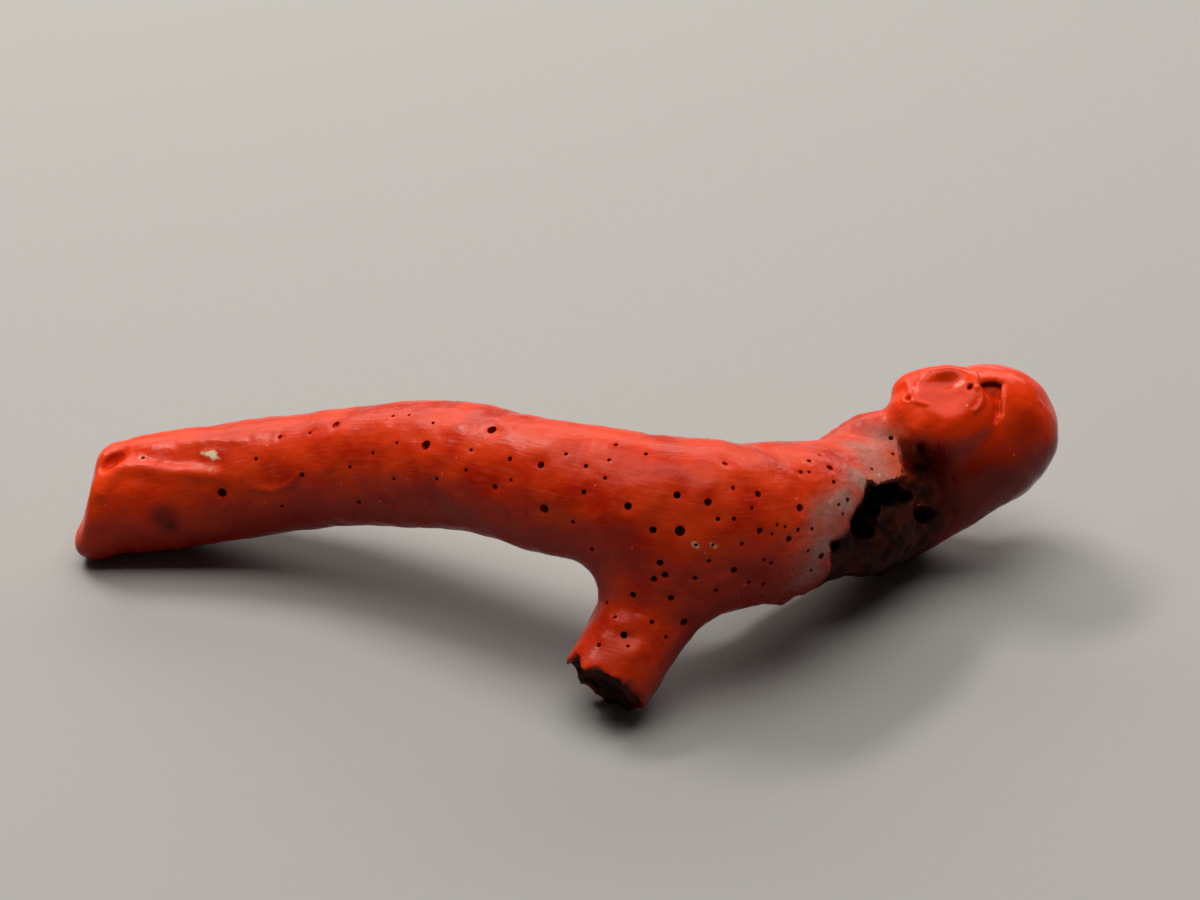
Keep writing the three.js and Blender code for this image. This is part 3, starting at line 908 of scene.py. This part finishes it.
    worn = addNode(tree, "Math", {"operation": "MAXIMUM"}, {0: share["powder"], 1: bare}).outputs[0]
    least, most = [look["roughness"] + more for more in look["uneven"]]
    smear = addNode(tree, "MapRange", smooth, {"Value": cloud},
                    From_Min=0.3, From_Max=0.7, To_Min=least, To_Max=most).outputs[0]
    rough = addNode(tree, "Mix", {"data_type": "FLOAT"}, {0: worn, 2: smear}, v3=look["dustRoughness"])
    tree.links.new(rough.outputs[0], shader.inputs["Roughness"])
    shader.inputs["IOR"].default_value = look["ior"]
    shader.inputs["Specular IOR Level"].default_value = look["specular"]

    ribbed = addNode(tree, "Math", multiply, {0: grain, 1: share["ribbing"]}).outputs[0]
    lift = addNode(tree, "Math", multiplyAdd, {0: ribbed, 2: mottle}, v1=0.6).outputs[0]
    pits = addNode(tree, "Math", multiplyAdd, {0: fine, 1: worn, 2: lift}).outputs[0]
    strength, deep = look["relief"]
    bump = addNode(tree, "Bump", links={"Height": pits}, Strength=strength, Distance=deep * mm)
    tree.links.new(bump.outputs[0], shader.inputs["Normal"])
    return material


# The inside of a bore: painted shade, dull and nearly black in red patches
def liningMaterial(name, look):
    material, tree, shader = newMaterial(name)
    place = addNode(tree, "TexCoord").outputs["Object"]
    paintedShadePatch = addNode(tree, "TexNoise", links={"Vector": place}, Scale=1000 / look["paintedShadePatch"], Detail=3.0)
    dirty = addNode(tree, "MapRange", smooth, {"Value": paintedShadePatch.outputs[0]}, From_Min=0.4, From_Max=0.65)
    colour = addNode(tree, "Mix", colours, {0: dirty.outputs[0]},
                     v6=linear(look["paintedBoreShade"]), v7=linear(look["red"]))
    tree.links.new(colour.outputs[2], shader.inputs["Base Color"])
    shader.inputs["Roughness"].default_value = look["roughness"]
    shader.inputs["Specular IOR Level"].default_value = look["specular"]
    return material


# How much of these marks there is at each point
def spotsOf(spots, marked):
    total = np.zeros(len(spots))
    for across, down, radius, strength in marked:
        at = hit(skinTree, across, down)
        if at is not None:
            total += strength * np.exp(-(((spots - at) ** 2).sum(1) / radius ** 2) ** 1.5)
    return total


# Masks for the materials, from the shape and the marks
def paintMasks(mesh, spots, found):
    # painted glow: lighter where the coral is thin
    paintedGlow = np.clip(1 + sample(spots - found * marks["clear"]) / marks["clear"], 0, 1)
    paintedGlow = paintedGlow * (0.3 + 0.7 * ramp(-7, -5, spots[:, 1]))  # the stub's end is thick all through
    across, down, _ = seenAt(*spots.T)
    traced = outlineDistance(across, down, neck["outline"], len(lip) - 1)
    facing = (found * unitRows(eye - spots)).sum(1)
    front = ramp(-0.35, 0.1, facing)
    alongNeck = beyond(growth["neckLine"], *spots.T)
    # the dark core colour: bare core in front of the neck and in patches round its back, painted shade on the
    # neck's right under the knob and on the stub's broken end
    patch = outlineDistance(across, down, marks["bare"]) + 0.35 * ripple(spots, 0.9, 2)
    bare = (1 - ramp(-0.14, -0.04, traced)) * front * (1 - ramp(-0.9, 0.9, patch))
    grimy = ramp(*marks["grimeIn"], alongNeck) * (1 - ramp(*marks["grimeOut"], alongNeck))
    grimy = grimy * np.clip(0.35 + ripple(spots, 1.6, 4), 0, 1)
    bare = np.maximum(bare * (1 - ramp(*marks["bareOut"], alongNeck)), (1 - front) * grimy)
    offAxis = np.full(len(spots), 9.0)
    for station in curveThrough(growth["stub"], 0.25):
        offAxis = np.minimum(offAxis, np.linalg.norm(spots - station[:3], axis=1) / station[3])
    # painted shade: the stub's broken end takes the dark core colour
    bare = np.maximum(bare, (1 - ramp(*marks["stubFace"], offAxis)) * (spots[:, 1] < -6))
    # dust lies on the crust near its edge, and stays off its top and off the knob
    most, reach = marks["bloom"]
    dust = most * (1 - ramp(0.0, reach, np.maximum(traced, -alongNeck * 0.8)))
    dust = np.clip(dust * (1 + 0.6 * ripple(spots, 1.3, 7)) + spotsOf(spots, marks["chalk"]), 0, 1)
    dust = dust * (1 - bare) * (1 - ramp(*marks["bloomTop"], spots[:, 2]))
    dust = dust * (1 - ramp(*marks["bloomOut"], alongNeck))
    flake = outlineDistance(across, down, marks["chip"]) + 0.08 * ripple(spots, 0.3, 3)
    # pale marks, shown cream, include painted highlight round the knob's crater ring
    pale = np.maximum(spotsOf(spots, marks["pale"]), 1 - ramp(-0.3, 0.12, flake))
    pale = np.clip(pale, 0, 1) * ramp(0, 0.2, facing)
    masks = np.stack([paintedGlow, dust, bare, pale], -1).astype(np.float32)
    mesh.attributes.new("masks", "FLOAT_COLOR", "POINT").data.foreach_set("color", masks.ravel())
    stainAndPaintedShade = np.clip(spotsOf(spots, marks["stainAndPaintedShade"]), 0, 1).astype(np.float32)
    mesh.attributes.new("stainAndPaintedShade", "FLOAT", "POINT").data.foreach_set("value", stainAndPaintedShade)


# mm along the limb, round it and off it, for the ribs
def layRibs(mesh, spots, batch=20000):
    chain = curveThrough(growth["stem"], 0.25)[:, :3]
    nearest = np.zeros(len(spots), int)
    for start in range(0, len(spots), batch):
        part = spots[start:start + batch]
        nearest[start:start + batch] = ((part[:, None] - chain[None]) ** 2).sum(2).argmin(1)
    ways = unitRows(np.gradient(chain, axis=0))
    travelled = np.concatenate([[0], np.cumsum(np.linalg.norm(np.diff(chain, axis=0), axis=1))])
    offset = spots - chain[nearest]
    run = travelled[nearest] + (offset * ways[nearest]).sum(1)
    side = unitRows(np.cross((0, 0, 1), ways[nearest]))
    over = np.cross(ways[nearest], side)
    ribs = np.stack([run, (offset * side).sum(1), (offset * over).sum(1)], -1).astype(np.float32)
    mesh.attributes.new("ribs", "FLOAT_VECTOR", "POINT").data.foreach_set("vector", ribs.ravel())


materials = {
    "polished": coralMaterial("polished precious coral", coral),
    "crusted": coralMaterial("precious coral with chalky crust", coral),
    "waxy": coralMaterial("waxy coral knob", {**coral, "roughness": 0.25, "specular": 0.15}),
}
paintedShadeLining = liningMaterial("coral bore lining with painted shade", lining)
dress = {  # piece: CAD nodes it stands for, material, record slot
    "long_branch": (["long_branch"], "polished", "polished_coral"),
    "side_stub": (["side_stub"], "polished", "polished_coral"),
    "trunk": (["trunk"], "crusted", "bored_coral"),
    "end_knob": (["end_knob", "knob_bud"], "waxy", "knob_coral"),
}
for name, mesh in meshes.items():
    nodes, finish, slot = dress[name]
    spots, found = dressNormals(mesh)
    paintMasks(mesh, spots, found)
    layRibs(mesh, spots)
    piece = addObject("coral_" + name, mesh)
    mesh.materials.clear()
    mesh.materials.append(materials[finish])
    mesh.materials.append(paintedShadeLining)
    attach(piece, "root")
    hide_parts(*nodes)
print("pieces dressed")


studio = {
    "floor": 0.36,  # how much light the paper gives back
    "floorRoughness": 0.9,
    "floorSize": 3.0,  # m
    # m, where each hangs, how wide and how tall it is, and watts
    "lights": {"overhead softbox": ((0.0, 0.06, 0.4), 0.4, 0.3, 1.4),
               "skylight": ((-0.17, 0.2, 0.32), 0.16, 0.05, 0.8),
               "window behind": ((0.0, 0.48, 0.26), 0.8, 0.25, 1.9)},
    "lightColour": (1.0, 0.95, 0.87),
    "room": (0.9, 0.88, 0.85, 1),
    "roomStrength": 0.035,
}


# Matt paper, which gives an even, pale grey with no sheen
def addFloor():
    mesh = bpy.data.meshes.new("floor")
    size = studio["floorSize"]
    corners = [(-size, -size, 0), (size, -size, 0), (size, size, 0), (-size, size, 0)]
    mesh.from_pydata(corners, [], [(0, 1, 2, 3)])
    floor = addObject("floor", mesh)
    paper, _, shader = newMaterial("matt studio paper")
    shader.inputs["Base Color"].default_value = [studio["floor"]] * 3 + [1]
    shader.inputs["Roughness"].default_value = studio["floorRoughness"]
    mesh.materials.append(paper)


# An area light that faces the coral
def addLight(name, at, wide, tall, power):
    data = bpy.data.lights.new(name, "AREA")
    data.shape = "RECTANGLE"
    data.size = wide
    data.size_y = tall
    data.energy = power
    data.color = studio["lightColour"]
    light = addObject(name, data)
    light.location = at
    light.rotation_mode = "QUATERNION"
    light.rotation_quaternion = (-Vector(at)).to_track_quat("-Z", "Y")


addFloor()
for name, setting in studio["lights"].items():
    addLight(name, *setting)
world = bpy.data.worlds.new("studio")
world.use_nodes = True
room = world.node_tree.nodes["Background"]
room.inputs["Color"].default_value = studio["room"]
room.inputs["Strength"].default_value = studio["roomStrength"]
bpy.context.scene.world = world
bpy.context.scene.view_settings.view_transform = "Standard"
print("studio lit")
